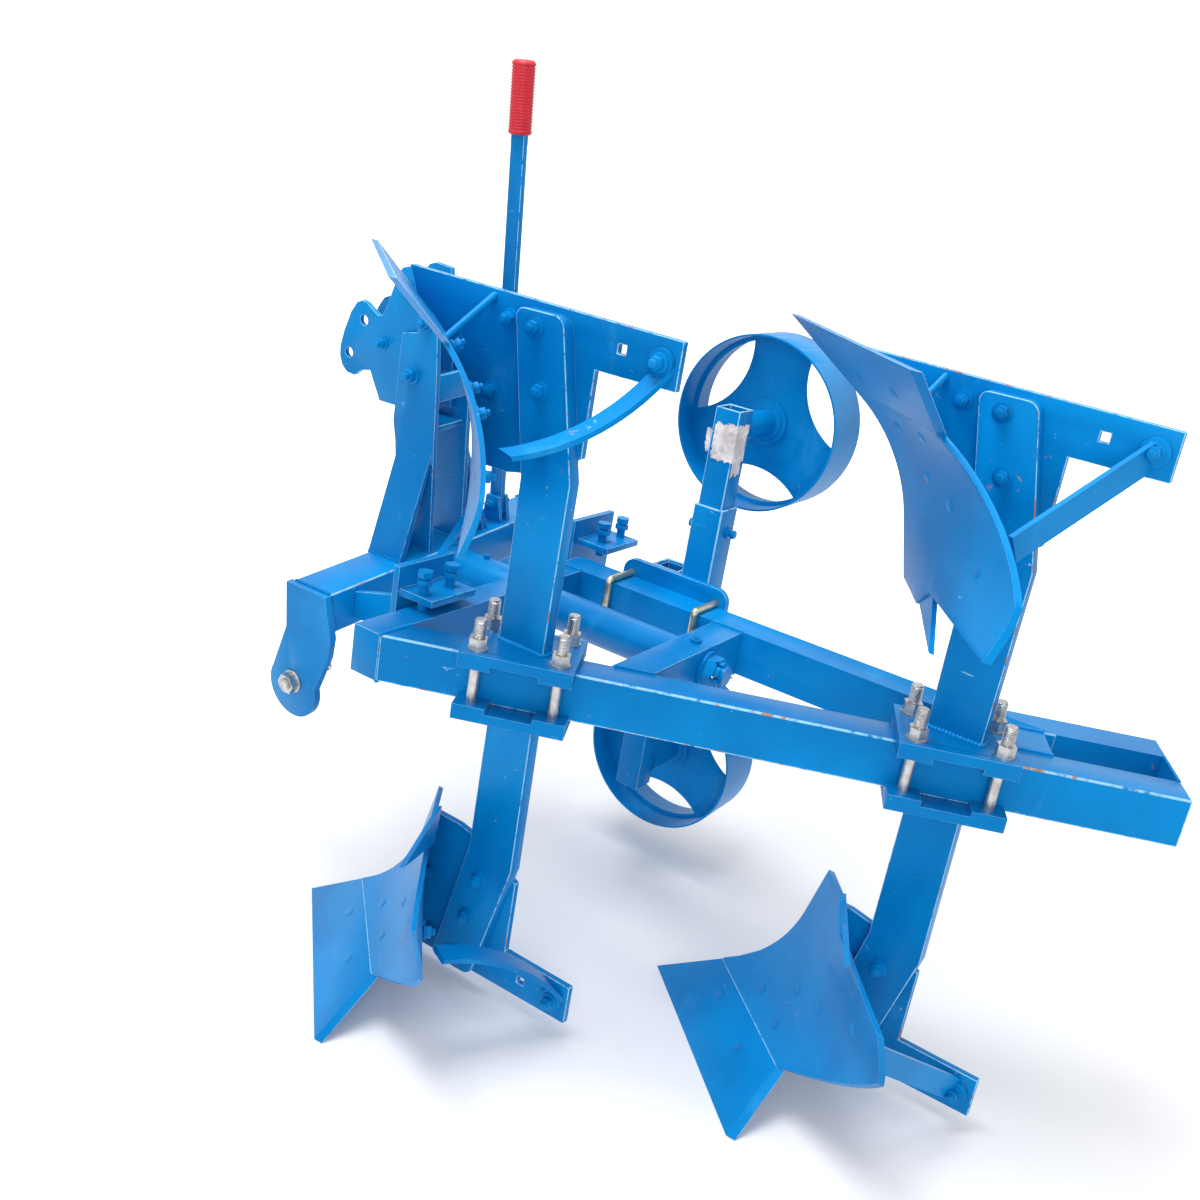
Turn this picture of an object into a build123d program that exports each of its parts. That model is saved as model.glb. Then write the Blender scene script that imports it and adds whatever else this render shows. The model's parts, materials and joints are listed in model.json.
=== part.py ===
from build123d import *
import math
import os

os.makedirs("parts", exist_ok=True)

# Two-furrow mounted plough that turns over on a central shaft.
# Millimetres. While it is drawn, the turnover shaft lies on x = 0, z = 0, the rear
# face of the cross tube is y = 0, +Y looks towards the hitch and +Z is up.

# frame
tube_height = 80.0
tube_half = tube_height / 2
tube_wall = 6.0
main_wall = 12.5
cross_left = -430.0
cross_depth = 55.0
beam_angle = 26.4
beam_width = 65.0
beam_length = 1250.0
far_left = 116.0
far_width = 68.0
far_wall = 5.0
far_right = far_left + far_width
rear_near = 150.0
rear_far = 214.0
bridge_start = 1001.0
bridge_end = 1056.0
end_plate = 6.0
strut_front = -295.0
strut_rear = -355.0

# turnover shaft
shaft_diameter = 50.0
shaft_fit = 0.05
turn_gap = 0.25
sleeve_diameter = 72.0
shaft_tail = -396.0
washer_thickness = 6.0
nut_height = 20.0
nut_across = 50.0
thread_diameter = 34.0

# plough bodies
body_step_x = -300.0
body_step_y = 604.0
rear_station = 899.0
share_depth = 608.0
leg_thickness = 25.0
leg_half = leg_thickness / 2
side_thickness = 12.0
sheet_thickness = 9.5
part_gap = 0.2
blade_skip = 0.3

# clamps
clamp_length = 180.0
clamp_width = 145.0
clamp_plate = 16.0
clamp_lug = 9.0
lug_length = 52.0
stud_diameter = 17.0
stud_clearance = 0.25
stud_spacing = 130.0
stud_offset = 47.0
stud_nut_across = 27.0
stud_washer = 3.0
stud_nut_height = 17.0
stud_end = 50.0

# hitch headstock, rolled about the shaft
headstock_roll = 6.2
hitch_half = 312.0
hitch_rear = 226.0
hitch_front = 316.0
hitch_height = 76.0
hitch_wall = 5.0
hitch_top = hitch_height / 2
drop_thickness = 14.0
pin_y = 308.0
pin_z = -158.0
pin_diameter = 22.0
pin_reach = 52.0
pin_collar = 6.0
pin_spindle = 20.0
mast_outer = 50.0
mast_thickness = 10.0
bracket_thickness = 10.0
link_hole = 19.5
link_points = ((425.0, 440.0), (463.0, 372.0))

# lever
lever_x = 178.0
lever_y = 262.0
lever_pivot_z = 74.0
lever_top = 904.0
lever_width = 30.0
lever_thickness = 12.0
lever_pin = 14.0
grip_diameter = 44.0
grip_length = 124.0

# gauge wheels
gauge_plate = 12.0
stand_box = 60.0
stem_size = 50.0
stem_wall = 4.0
stem_fit = 0.1
stem_upper_y = -199.0
stem_lower_y = -132.0
axle_height = 360.0
stem_end = 398.0
wheel_diameter = 330.0
wheel_width = 110.0
wheel_near = 312.0
rim_thickness = 4.0
disc_thickness = 4.0
axle_diameter = 30.0
hub_diameter = 50.0
lens_near = 90.0
lens_spread = 36.0
flange_diameter = 88.0
ubolt_rod = 13.0
ubolt_places = (-69.0, -257.0)


def put(axis, a, b, c):
    if axis == "x":
        return Vector(c, a, b)
    if axis == "y":
        return Vector(a, c, b)
    return Vector(a, b, c)


def prism(points, low, high, axis):
    edge = Wire.make_polygon([put(axis, p[0], p[1], low) for p in points], close=True)
    return Solid.extrude(Face(edge), put(axis, 0, 0, high - low))


def block(x0, x1, y0, y1, z0, z1):
    return prism([(x0, y0), (x1, y0), (x1, y1), (x0, y1)], z0, z1, "z")


def rod(diameter, start, end):
    a = Vector(*start)
    b = Vector(*end)
    return Solid.make_cylinder(diameter / 2, (b - a).length, Plane(a, z_dir=b - a))


def hexagon(across, start, end):
    a = Vector(*start)
    b = Vector(*end)
    plane = Plane(a, z_dir=b - a)
    radius = across / math.sqrt(3)
    turns = [math.radians(30 + 60 * i) for i in range(6)]
    points = [plane.from_local_coords((radius * math.cos(t), radius * math.sin(t), 0)) for t in turns]
    edge = Wire.make_polygon([Vector(*p) if isinstance(p, tuple) else p for p in points], close=True)
    return Solid.extrude(Face(edge), b - a)


def group(solids):
    return Compound(children=list(solids))


def fuse(solids):
    whole = solids[0]
    for piece in solids[1:]:
        whole = whole + piece
    return whole


def along(s, w):
    a = math.radians(beam_angle)
    return (cross_left + math.sin(a) * s + math.cos(a) * w, -math.cos(a) * s + math.sin(a) * w)


def station(w, x=None, y=None):
    # distance along the oblique beam at which the line at offset w meets x or y
    a = math.radians(beam_angle)
    if x is not None:
        return (x - cross_left - math.cos(a) * w) / math.sin(a)
    return (math.sin(a) * w - y) / math.cos(a)


def swath(pairs, low, high):
    return prism([along(s, w) for s, w in pairs], low, high, "z")


def mirrored(solid):
    return solid.mirror(Plane.XY)


def rolled(solid):
    # +x side down or up about the shaft
    return solid.rotate(Axis((0, 0, 0), (0, 1, 0)), -headstock_roll)


nodes = {}

# ---- frame ----
main_points = [(0, 0), (station(beam_width, y=0), beam_width), (beam_length, beam_width), (beam_length, 0)]
tube_inner = tube_half - tube_wall
main_inner = [(-20, main_wall), (-20, beam_width - main_wall),
              (beam_length - main_wall, beam_width - main_wall), (beam_length - main_wall, main_wall)]
main_beam = swath(main_points, -tube_half, tube_half)
nodes["oblique_beam"] = main_beam - swath(main_inner, -tube_inner, tube_inner)

shaft_hole = rod(shaft_diameter + 2 * shaft_fit, (0, 300, 0), (0, -500, 0))
shaft_boss = rod(sleeve_diameter - 2, (0, tube_wall / 2, 0), (0, cross_depth - tube_wall / 2, 0))
cross = block(cross_left, far_left, 0, cross_depth, -tube_half, tube_half)
cross = cross - block(cross_left + tube_wall, far_left + 5, tube_wall, cross_depth - tube_wall,
                      -tube_inner, tube_inner)
nodes["cross_tube"] = cross + shaft_boss - shaft_hole

s_near = station(rear_near, x=far_left)
s_far = station(rear_near, x=far_right)
far_front = cross_depth - tube_wall
far_points = [
    (far_left, far_front),
    (far_right, far_front),
    along(s_far, rear_near),
    along(s_near, rear_near),
]
far_inner_w = rear_near + far_wall
far_hollow = tube_half - far_wall
far_inner = [
    (far_left + far_wall, cross_depth),
    (far_right - far_wall, cross_depth),
    along(station(far_inner_w, x=far_right - far_wall), far_inner_w),
    along(station(far_inner_w, x=far_left + far_wall), far_inner_w),
]
far_tube = prism(far_points, -tube_half, tube_half, "z") - prism(far_inner, -far_hollow, far_hollow, "z")
far_cap = block(far_left, far_right, far_front, cross_depth, -tube_half, tube_half)
nodes["far_beam"] = group([far_tube, far_cap])

side_points = [
    (s_far, rear_near),
    (beam_length, rear_near),
    (beam_length, rear_far),
    (station(rear_far, x=far_right), rear_far),
]
inner_w = rear_near + tube_wall
side_inner = [
    (station(inner_w, x=far_right) - 20, inner_w),
    (beam_length - tube_wall, inner_w),
    (beam_length - tube_wall, rear_far - tube_wall),
    (station(rear_far - tube_wall, x=far_right) - 20, rear_far - tube_wall),
]
side_tube = swath(side_points, -tube_half, tube_half) - swath(side_inner, -tube_inner, tube_inner)
bridge = [
    side_tube,
    swath([(bridge_start, beam_width), (bridge_end, beam_width), (bridge_end, rear_near),
           (bridge_start, rear_near)], -tube_half, tube_half),
    swath([(beam_length - end_plate, beam_width), (beam_length, beam_width),
           (beam_length, rear_near), (beam_length - end_plate, rear_near)], -tube_half, tube_half),
]
nodes["rear_bridge"] = fuse(bridge)

strut = prism(
    [
        along(station(beam_width, y=strut_front), beam_width),
        (far_left, strut_front),
        (far_left, strut_rear),
        along(station(beam_width, y=strut_rear), beam_width),
    ],
    -tube_half, tube_half, "z")
strut_inner = block(-300, far_left - tube_wall, strut_rear + tube_wall, strut_front - tube_wall,
                    -tube_inner, tube_inner)
strut_boss = rod(sleeve_diameter - 2, (0, strut_front - tube_wall / 2, 0), (0, strut_rear + tube_wall / 2, 0))
sleeve = rod(sleeve_diameter, (0, 0, 0), (0, strut_front, 0))
nodes["middle_strut"] = strut - strut_inner + strut_boss + sleeve - shaft_hole

# ---- clamps ----
front_station = rear_station - math.hypot(body_step_x, body_step_y)
plates = []
studs = []
for centre in (front_station, rear_station):
    mid = beam_width / 2
    ends = [centre - clamp_length / 2, centre + clamp_length / 2]
    sides = [mid - clamp_width / 2, mid + clamp_width / 2]
    plate = swath([(ends[0], sides[0]), (ends[1], sides[0]), (ends[1], sides[1]),
                   (ends[0], sides[1])], tube_half, tube_half + clamp_plate)
    for side, edge in ((0, -part_gap), (1, beam_width + part_gap)):
        for start, stop in ((ends[0], ends[0] + lug_length), (ends[1] - lug_length, ends[1])):
            lug = swath([(start, sides[side]), (stop, sides[side]), (stop, edge),
                         (start, edge)], tube_half - clamp_lug, tube_half)
            plate = plate + lug
    holes = []
    for ds in (-stud_spacing / 2, stud_spacing / 2):
        for dw in (-stud_offset, stud_offset):
            x, y = along(centre + ds, mid + dw)
            top = tube_half + clamp_plate + stud_end
            holes.append(rod(stud_diameter + 2 * stud_clearance, (x, y, -top), (x, y, top)))
            seat = tube_half + clamp_plate
            stud = rod(stud_diameter, (x, y, -seat), (x, y, top))
            washer = rod(stud_nut_across + 5, (x, y, seat), (x, y, seat + stud_washer))
            nut = hexagon(stud_nut_across, (x, y, seat + stud_washer), (x, y, seat + stud_washer + stud_nut_height))
            studs.append(stud + washer + nut)
    for hole in holes:
        plate = plate - hole
    plates.append(plate)
    plates.append(mirrored(plate))
nodes["clamp_plates"] = group(plates)
nodes["clamp_studs"] = group(studs)

# ---- plough bodies, drawn for the rear lower body ----
leg_top = tube_half + clamp_plate
leg_points = [(-747, -leg_top), (-834, -leg_top), (-836, -333), (-780, -574), (-762, -588),
              (-706, -588), (-693, -574), (-745, -322)]
leg = prism(leg_points, -leg_half, leg_half, "x")

share_slope = 34.2
share_back = [-0.827, 0.562]


def turned(angle):
    a = math.radians(angle)
    return (math.sin(a), math.cos(a))


def section(x, nose_y, flat, radius, finish, top, thickness):
    # share line, arc and straight top as one closed band in the plane x
    start = (nose_y - math.cos(math.radians(share_slope)) * flat,
             -share_depth + math.sin(math.radians(share_slope)) * flat)
    n0 = turned(share_slope)
    centre = (start[0] + n0[0] * radius, start[1] + n0[1] * radius)

    def on_arc(angle, r):
        n = turned(angle)
        return (centre[0] - n[0] * r, centre[1] - n[1] * r)

    def past(angle, r):
        p = on_arc(angle, r)
        rise = top - p[1]
        return (p[0] - rise / math.tan(math.radians(angle)), top)

    middle = (share_slope + finish) / 2
    back = radius + thickness
    nose_back = (nose_y - n0[0] * thickness, -share_depth - n0[1] * thickness)

    def at(p):
        return Vector(x, p[0], p[1])

    edges = [
        Edge.make_line(at((nose_y, -share_depth)), at(start)),
        Edge.make_three_point_arc(at(start), at(on_arc(middle, radius)), at(on_arc(finish, radius))),
        Edge.make_line(at(on_arc(finish, radius)), at(past(finish, radius))),
        Edge.make_line(at(past(finish, radius)), at(past(finish, back))),
        Edge.make_line(at(past(finish, back)), at(on_arc(finish, back))),
        Edge.make_three_point_arc(at(on_arc(finish, back)), at(on_arc(middle, back)),
                                  at(on_arc(share_slope, back))),
        Edge.make_line(at(on_arc(share_slope, back)), at(nose_back)),
        Edge.make_line(at(nose_back), at((nose_y, -share_depth))),
    ]
    return Wire(edges)


sheet_right = leg_half - part_gap
edge_slant = 25066.0 / 22991.0
tail_x = -305.0
shin_wire = section(sheet_right, -376 + (sheet_right - 7) * edge_slant, 175, 265, 76, -235,
                    sheet_thickness)
tail_wire = section(tail_x, -376 + (tail_x - 7) * edge_slant, 134, 176.5, 112, -235,
                    sheet_thickness)
sheet = Solid.make_loft([shin_wire, tail_wire], ruled=True)

seam_right = (sheet_right, -523.0)
seam_left = (-174.0, -521.0)
share_outline = [(40, -share_depth), (40, seam_right[1]), seam_right, seam_left, (-275, -share_depth)]
board_outline = [
    (40, -523 + 2 * part_gap), (seam_right[0], seam_right[1] + part_gap),
    (seam_left[0] - part_gap, seam_left[1] + part_gap), (-290, -365), (-299, -285), (-105, -289),
    (-62, -253), (sheet_right, -262), (40, -262)]
share = sheet & prism(share_outline, -1100, -200, "y")
board = sheet & prism(board_outline, -1100, -200, "y")


def lobe(points, thickness):
    a, b, c = [Vector(*p) for p in points]
    normal = (b - a).cross(c - a).normalized()
    if normal.Y > 0:
        normal = normal * -1
    return Solid.extrude(Face(Wire.make_polygon([a, b, c], close=True)), normal * thickness)


tongue = lobe([(-46, -694, -258), (-98, -729, -292), (-237, -786, -250)], 8)
board = fuse([board, tongue])

side_left = leg_half
side_right = leg_half + side_thickness
shin = [(-458, -585), (-478, -545), (-497, -525), (-521, -509), (-568, -468), (-590, -440), (-613, -400),
        (-629, -354), (-640, -312)]
side_points_yz = [(-970, -573), (-970, -502), (-832, -502), (-832, -369), (-751, -324),
                  (-700, -313)] + shin[::-1]
side = prism(side_points_yz, side_left, side_right, "x")

brace_end = (-190, -846, -405)
brace_thickness = 8.0
brace_bow = 28.0


def brace_bar(bow):
    # flat bar from the landside to the back of the mouldboard; a bowed one lies flat side up
    a = Vector(side_left + 10, -950, -543)
    b = Vector(*brace_end)
    across = (b - a).cross(Vector(0, 0, 1)).normalized()
    up = across.cross(b - a).normalized()
    if up.Z < 0:
        up = up * -1
    if bow == 0:
        edge = Wire.make_polygon([a - up * 20, b - up * 20, b + up * 20, a + up * 20], close=True)
        bar = Solid.extrude(Face(edge), across * brace_thickness)
    else:
        middle = (a + b) * 0.5 + up * bow
        t = up * brace_thickness
        edges = [
            Edge.make_three_point_arc(a, middle, b),
            Edge.make_line(b, b + t),
            Edge.make_three_point_arc(b + t, middle + t, a + t),
            Edge.make_line(a + t, a),
        ]
        bar = Solid.extrude(Face(Wire(edges)), across * 40).moved(Location(across * -16))
    return bar & block(-400, side_left - part_gap, -1100, -400, -700, 0)


brace_shapes = {"rear": brace_bar(0), "front": brace_bar(brace_bow)}

bodies = {
    "rear_lower": (0, 0, False),
    "rear_upper": (0, 0, True),
    "front_lower": (body_step_x, body_step_y, False),
    "front_upper": (body_step_x, body_step_y, True),
}
braces = []
for name, (dx, dy, up) in bodies.items():
    for kind, solid in (("leg", leg), ("landside", side), ("mouldboard", board), ("share", share)):
        placed = mirrored(solid) if up else solid
        nodes[kind + "_" + name] = placed.moved(Location((dx, dy, 0)))
    bar = brace_shapes[name.split("_")[0]]
    placed = mirrored(bar) if up else bar
    braces.append(placed.moved(Location((dx, dy, 0))))
nodes["braces"] = group(braces)

# ---- gauge wheel stand ----
stand_x = far_right + gauge_plate
stem_x = stand_x + stand_box / 2
plate = block(far_right, stand_x, -280, -50, -75, 75)
plate = plate.fillet(26, [e for e in plate.edges() if abs(e.length - gauge_plate) < 0.01])
leg_z = tube_half + ubolt_rod / 2 + part_gap
web_x = far_left - ubolt_rod / 2 - part_gap
for y in ubolt_places:
    for z in (-leg_z, leg_z):
        plate = plate - rod(ubolt_rod + 0.6, (far_right - 20, y, z), (stand_x + 20, y, z))
nodes["gauge_plate"] = plate
bolts = []
for y in ubolt_places:
    bend = ubolt_rod / 2 + 0.5
    parts = []
    for sign in (-1, 1):
        z = sign * leg_z
        parts.append(rod(ubolt_rod, (web_x + bend, y, z), (stand_x + 26, y, z)))
        parts.append(hexagon(20, (stand_x, y, z), (stand_x + 11, y, z)))
        ring = Face(Wire.make_circle(ubolt_rod / 2, Plane(Vector(web_x + bend, y, z), z_dir=(-1, 0, 0))))
        parts.append(Solid.revolve(ring, 90, Axis((web_x + bend, y, z - sign * bend),
                                                  (0, -sign, 0))))
    parts.append(rod(ubolt_rod, (web_x, y, -leg_z + bend), (web_x, y, leg_z - bend)))
    bolts.append(fuse(parts))
nodes["gauge_u_bolts"] = group(bolts)

bore = stem_size / 2 + stem_fit / 2
half = stand_box / 2


def sleeve_tube(y, z0, z1):
    outer = block(stand_x, stand_x + stand_box, y - half, y + half, z0, z1)
    return outer - block(stem_x - bore, stem_x + bore, y - bore, y + bore, z0 - 1, z1 + 1)


nodes["gauge_sleeves"] = group([sleeve_tube(stem_upper_y, -75, 215), sleeve_tube(stem_lower_y, -215, 75)])

wheel_mid = wheel_near + wheel_width / 2
axle_end = wheel_near + wheel_width + 4
hub_start = stem_x + stem_size / 2 + 12


def stem_and_axle(y, sign):
    ends = sorted((-sign * 70, sign * stem_end))
    reach = stem_size / 2
    stem = block(stem_x - reach, stem_x + reach, y - reach, y + reach, ends[0], ends[1])
    inner = reach - stem_wall
    stem = stem - block(stem_x - inner, stem_x + inner, y - inner, y + inner, ends[0] - 1, ends[1] + 1)
    z = sign * axle_height
    axle = rod(axle_diameter, (stem_x, y, z), (axle_end, y, z))
    collar = rod(hub_diameter - 6, (stem_x + reach, y, z), (hub_start - 0.5, y, z))
    return fuse([stem, axle, collar])


nodes["gauge_stem_upper"] = stem_and_axle(stem_upper_y, 1)
nodes["gauge_stem_lower"] = stem_and_axle(stem_lower_y, -1)


def lens(y, z, turn):
    # one cut-out of the disc: rim side arc against a shallower arc
    outer = wheel_diameter / 2 - rim_thickness - 8
    spread = lens_spread
    a0 = math.radians(turn - spread)
    a1 = math.radians(turn + spread)
    am = math.radians(turn)
    near = lens_near

    def at(r, a):
        return Vector(wheel_mid - 20, y + r * math.cos(a), z + r * math.sin(a))

    edges = [
        Edge.make_three_point_arc(at(outer, a0), at(outer, am), at(outer, a1)),
        Edge.make_three_point_arc(at(outer, a1), at(near, am), at(outer, a0)),
    ]
    return Solid.extrude(Face(Wire(edges)), Vector(40, 0, 0))


def wheel(y, z):
    a = (wheel_near, y, z)
    b = (wheel_near + wheel_width, y, z)
    rim = rod(wheel_diameter, a, b) - rod(wheel_diameter - 2 * rim_thickness, a, b)
    disc = rod(wheel_diameter - 2, (wheel_mid - disc_thickness / 2, y, z),
               (wheel_mid + disc_thickness / 2, y, z))
    for turn in (52, 172, 292):
        disc = disc - lens(y, z, turn)
    hub = rod(hub_diameter, (hub_start, y, z), (axle_end - 8, y, z))
    flange = rod(flange_diameter, (wheel_mid - disc_thickness / 2 - 8, y, z), (wheel_mid, y, z))
    whole = fuse([rim, disc, hub, flange])
    return whole - rod(axle_diameter + 2 * shaft_fit, (hub_start - 5, y, z), (axle_end + 5, y, z))


nodes["wheel_upper"] = wheel(stem_upper_y, axle_height)
nodes["wheel_lower"] = wheel(stem_lower_y, -axle_height)

# ---- turnover shaft and stops, which stay with the hitch ----
washer_y = strut_rear - turn_gap
shaft = rod(shaft_diameter, (0, hitch_rear, 0), (0, washer_y, 0))
shaft = shaft + rod(thread_diameter, (0, washer_y, 0), (0, shaft_tail, 0))
housing_front = hitch_rear
housing = rod(84, (0, cross_depth + 5, 0), (0, housing_front, 0))
nodes["turnover_shaft"] = shaft
nodes["shaft_housing"] = housing - rod(shaft_diameter, (0, 0, 0), (0, 300, 0))
washer = rod(66, (0, washer_y, 0), (0, washer_y - washer_thickness, 0))
nut_y = washer_y - washer_thickness
nut = hexagon(nut_across, (0, nut_y, 0), (0, nut_y - nut_height, 0))
crown = rod(nut_across - 6, (0, nut_y - nut_height, 0), (0, nut_y - nut_height - 8, 0))
castle = fuse([washer, nut, crown])
for turn in (0, 60, 120):
    a = math.radians(turn)
    slot = block(-40, 40, nut_y - nut_height - 9, nut_y - nut_height + 3, -3, 3)
    castle = castle - slot.rotate(Axis((0, 0, 0), (0, 1, 0)), turn)
nodes["shaft_nut"] = castle - rod(thread_diameter, (0, 0, 0), (0, -500, 0))

stop_bottom = 56.0
stop_top = 68.0
stops = []
screws = []
for side, fall, rise in ((-1, -50, 0), (1, 0, 50)):
    tab = block(min(side * 200, side * 310), max(side * 200, side * 310), 2, 73, stop_bottom, stop_top)
    wall = block(min(side * 180, side * 317), max(side * 180, side * 317), 73, 85, -30, 107)
    arm = prism([(85, -30), (85, 38), (hitch_rear, rise), (hitch_rear, fall - 0)], side * 250 - 8,
                side * 250 + 8, "x")
    stop = fuse([tab, wall, arm])
    for x in (side * 228, side * 294):
        stop = stop - rod(16.2, (x, 36, 0), (x, 36, 100))
        screw = rod(16, (x, 36, tube_half + 0.3), (x, 36, 98))
        screws.append(screw + hexagon(24, (x, 36, 98), (x, 36, 108)))
    stops.append(stop)
nodes["stop_plates"] = group(stops)
nodes["stop_screws"] = group(screws)

# ---- headstock, drawn upright and then rolled ----
hitch_tube = block(-hitch_half, hitch_half, hitch_rear, hitch_front, -hitch_top, hitch_top)
hitch_inner = hitch_top - hitch_wall
hitch_tube = hitch_tube - block(-hitch_half - 5, hitch_half + 5, hitch_rear + hitch_wall,
                                hitch_front - hitch_wall, -hitch_inner, hitch_inner)
nodes["hitch_beam"] = rolled(hitch_tube)

foot_y = 309.0
foot_z = -172.0
foot_r = 58.0


def drop_plate(side):
    outline = [(hitch_rear - 2, hitch_top), (321, hitch_top), (323, -51), (366, -160), (foot_y, foot_z),
               (253, -160), (218, -80), (211, -40)]
    low = min(side * hitch_half, side * (hitch_half + drop_thickness))
    high = low + drop_thickness
    plate = prism(outline, low, high, "x") + rod(2 * foot_r, (low, foot_y, foot_z), (high, foot_y, foot_z))
    return plate - rod(pin_spindle, (low - 5, pin_y, pin_z), (high + 5, pin_y, pin_z))


nodes["drop_plates"] = group([rolled(drop_plate(-1)), rolled(drop_plate(1))])
pins = []
for side in (-1, 1):
    inner = side * hitch_half
    outer = side * (hitch_half + drop_thickness)
    shoulder = side * (hitch_half - pin_collar)
    end = side * (hitch_half - pin_collar - pin_reach)
    pin = fuse([
        rod(pin_spindle, (inner, pin_y, pin_z), (outer + side * 24, pin_y, pin_z)),
        rod(34, (inner, pin_y, pin_z), (shoulder, pin_y, pin_z)),
        rod(pin_diameter, (shoulder, pin_y, pin_z), (end, pin_y, pin_z)),
        hexagon(34, (outer, pin_y, pin_z), (outer + side * 18, pin_y, pin_z)),
    ])
    pins.append(rolled(pin))
nodes["hitch_pins"] = group(pins)

mast_inner = mast_outer - mast_thickness
mast_outline = [(236, hitch_top), (322, hitch_top), (331, 237), (337, 274), (320, 441), (283, 449),
                (280, 481), (272, 491), (261, 496), (249, 493), (240, 484), (237, 472), (234, 378)]
masts = []
for side in (-1, 1):
    low = min(side * mast_inner, side * mast_outer)
    plate = prism(mast_outline, low, low + mast_thickness, "x")
    foot = prism([(side * 50, 236), (side * 50, 214), (side * 112, hitch_top), (side * 127, hitch_top)],
                 240, 320, "y")
    masts.append(rolled(plate + foot))
nodes["mast_plates"] = group(masts)

bracket_outline = [(268, 300), (383, 298), (408, 350), (431, 345), (449, 331), (468, 333), (481, 343),
                   (487, 362), (486, 380), (476, 411), (458, 450), (443, 470), (430, 476), (418, 473),
                   (390, 456), (379, 459), (370, 475), (340, 543), (332, 553), (317, 558), (281, 555),
                   (276, 520), (268, 480)]
brackets = []
for side in (-1, 1):
    high = mast_inner if side > 0 else -(mast_inner - bracket_thickness)
    low = high - bracket_thickness
    plate = prism(bracket_outline, low, high, "x")
    for y, z in link_points:
        plate = plate - rod(link_hole, (low - 5, y, z), (high + 5, y, z))
    brackets.append(rolled(plate))
nodes["link_brackets"] = group(brackets)
web = block(-mast_inner, mast_inner, 246, 326, 270, 280)
rear_web = block(-mast_inner, mast_inner, 236, 246, 330, 380)
bracket_inner = mast_inner - bracket_thickness
spacer = rod(26, (-bracket_inner, 300, 500), (bracket_inner, 300, 500))
nodes["mast_webs"] = group([rolled(web), rolled(rear_web), rolled(spacer)])

# ---- turnover lever ----
cheek = lever_thickness / 2 + 1
cheeks = []
for side in (-1, 1):
    x0 = lever_x + side * cheek
    x1 = lever_x + side * (cheek + 8)
    plate = prism([(lever_y - 24, hitch_top), (lever_y + 24, hitch_top), (lever_y + 16, 92),
                   (lever_y - 16, 92)], min(x0, x1), max(x0, x1), "x")
    cheeks.append(plate)
pin = rod(lever_pin, (lever_x - cheek - 14, lever_y, lever_pivot_z), (lever_x + cheek + 14, lever_y, lever_pivot_z))
nodes["lever_bracket"] = rolled(fuse(cheeks + [pin]))
bar = block(lever_x - lever_thickness / 2, lever_x + lever_thickness / 2, lever_y - lever_width / 2,
            lever_y + lever_width / 2, lever_pivot_z - 18, lever_top - 4)
bar = bar - rod(lever_pin + 0.1, (lever_x - 20, lever_y, lever_pivot_z), (lever_x + 20, lever_y, lever_pivot_z))
grip_z = lever_top - grip_length
grip = rod(grip_diameter, (lever_x, lever_y, grip_z), (lever_x, lever_y, lever_top))
nodes["lever_bar"] = rolled(bar)
nodes["lever_grip"] = rolled(grip) - rolled(bar)

# ---- bodies that move, and the common origin under the middle of the whole ----
moving = {
    "lever": ["lever_bar", "lever_grip"],
    "gauge_wheel_upper": ["wheel_upper"],
    "gauge_wheel_lower": ["wheel_lower"],
    "headstock": ["hitch_beam", "drop_plates", "hitch_pins", "mast_plates", "link_brackets",
                  "mast_webs", "turnover_shaft", "shaft_housing", "shaft_nut", "stop_plates",
                  "stop_screws", "lever_bracket"],
}
whole = Compound(children=[Compound(children=s.solids()) for s in nodes.values()])
box = whole.bounding_box()
shift = Vector(-(box.min.X + box.max.X) / 2, -(box.min.Y + box.max.Y) / 2, -box.min.Z)
lever_hinge = rolled(Vertex(lever_x, lever_y, lever_pivot_z))
wheel_hubs = {"gauge_wheel_upper": (wheel_mid, stem_upper_y, axle_height),
              "gauge_wheel_lower": (wheel_mid, stem_lower_y, -axle_height)}

for name, solid in nodes.items():
    placed = solid.moved(Location(shift))
    export_step(placed, os.path.join("parts", name + ".step"))
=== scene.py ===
import json
import math
import bpy
import bmesh
from mathutils import Matrix, Vector, noise
from mathutils.bvhtree import BVHTree

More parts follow.
